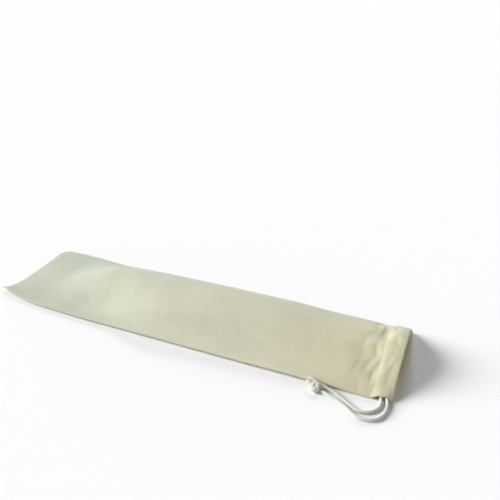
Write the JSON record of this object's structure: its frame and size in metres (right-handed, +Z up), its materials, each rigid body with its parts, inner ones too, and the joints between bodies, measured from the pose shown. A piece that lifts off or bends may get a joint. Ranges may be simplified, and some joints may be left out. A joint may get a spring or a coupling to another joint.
{
  "type": "baguette bag",
  "caption": "Long cotton drawstring bag for a baguette, lying open: a flat closed end, a ramp, a rounded ridge, an open mouth with a cord casing, and two knotted cord ends beside it.",
  "frame": {"origin": "centre of the bag's bounding box without the free drawstring, at the surface it lies on", "axes": "+X from the closed end to the mouth, +Y from the seamed edge to the folded edge, +Z up"},
  "size_m": [0.7285, 0.2366, 0.0552],
  "materials": {
    "cotton": "unbleached plain-woven cotton with slubs and small seed flecks, matt",
    "cord": "soft twisted cotton cord, off-white, matt"
  },
  "bodies": {
    "root": {"bag": "cotton", "drawstring_in_casing": "cord", "drawstring_outer_strand": "cord", "drawstring_inner_strand": "cord", "drawstring_knot": "cord"}
  },
  "joints": []
}
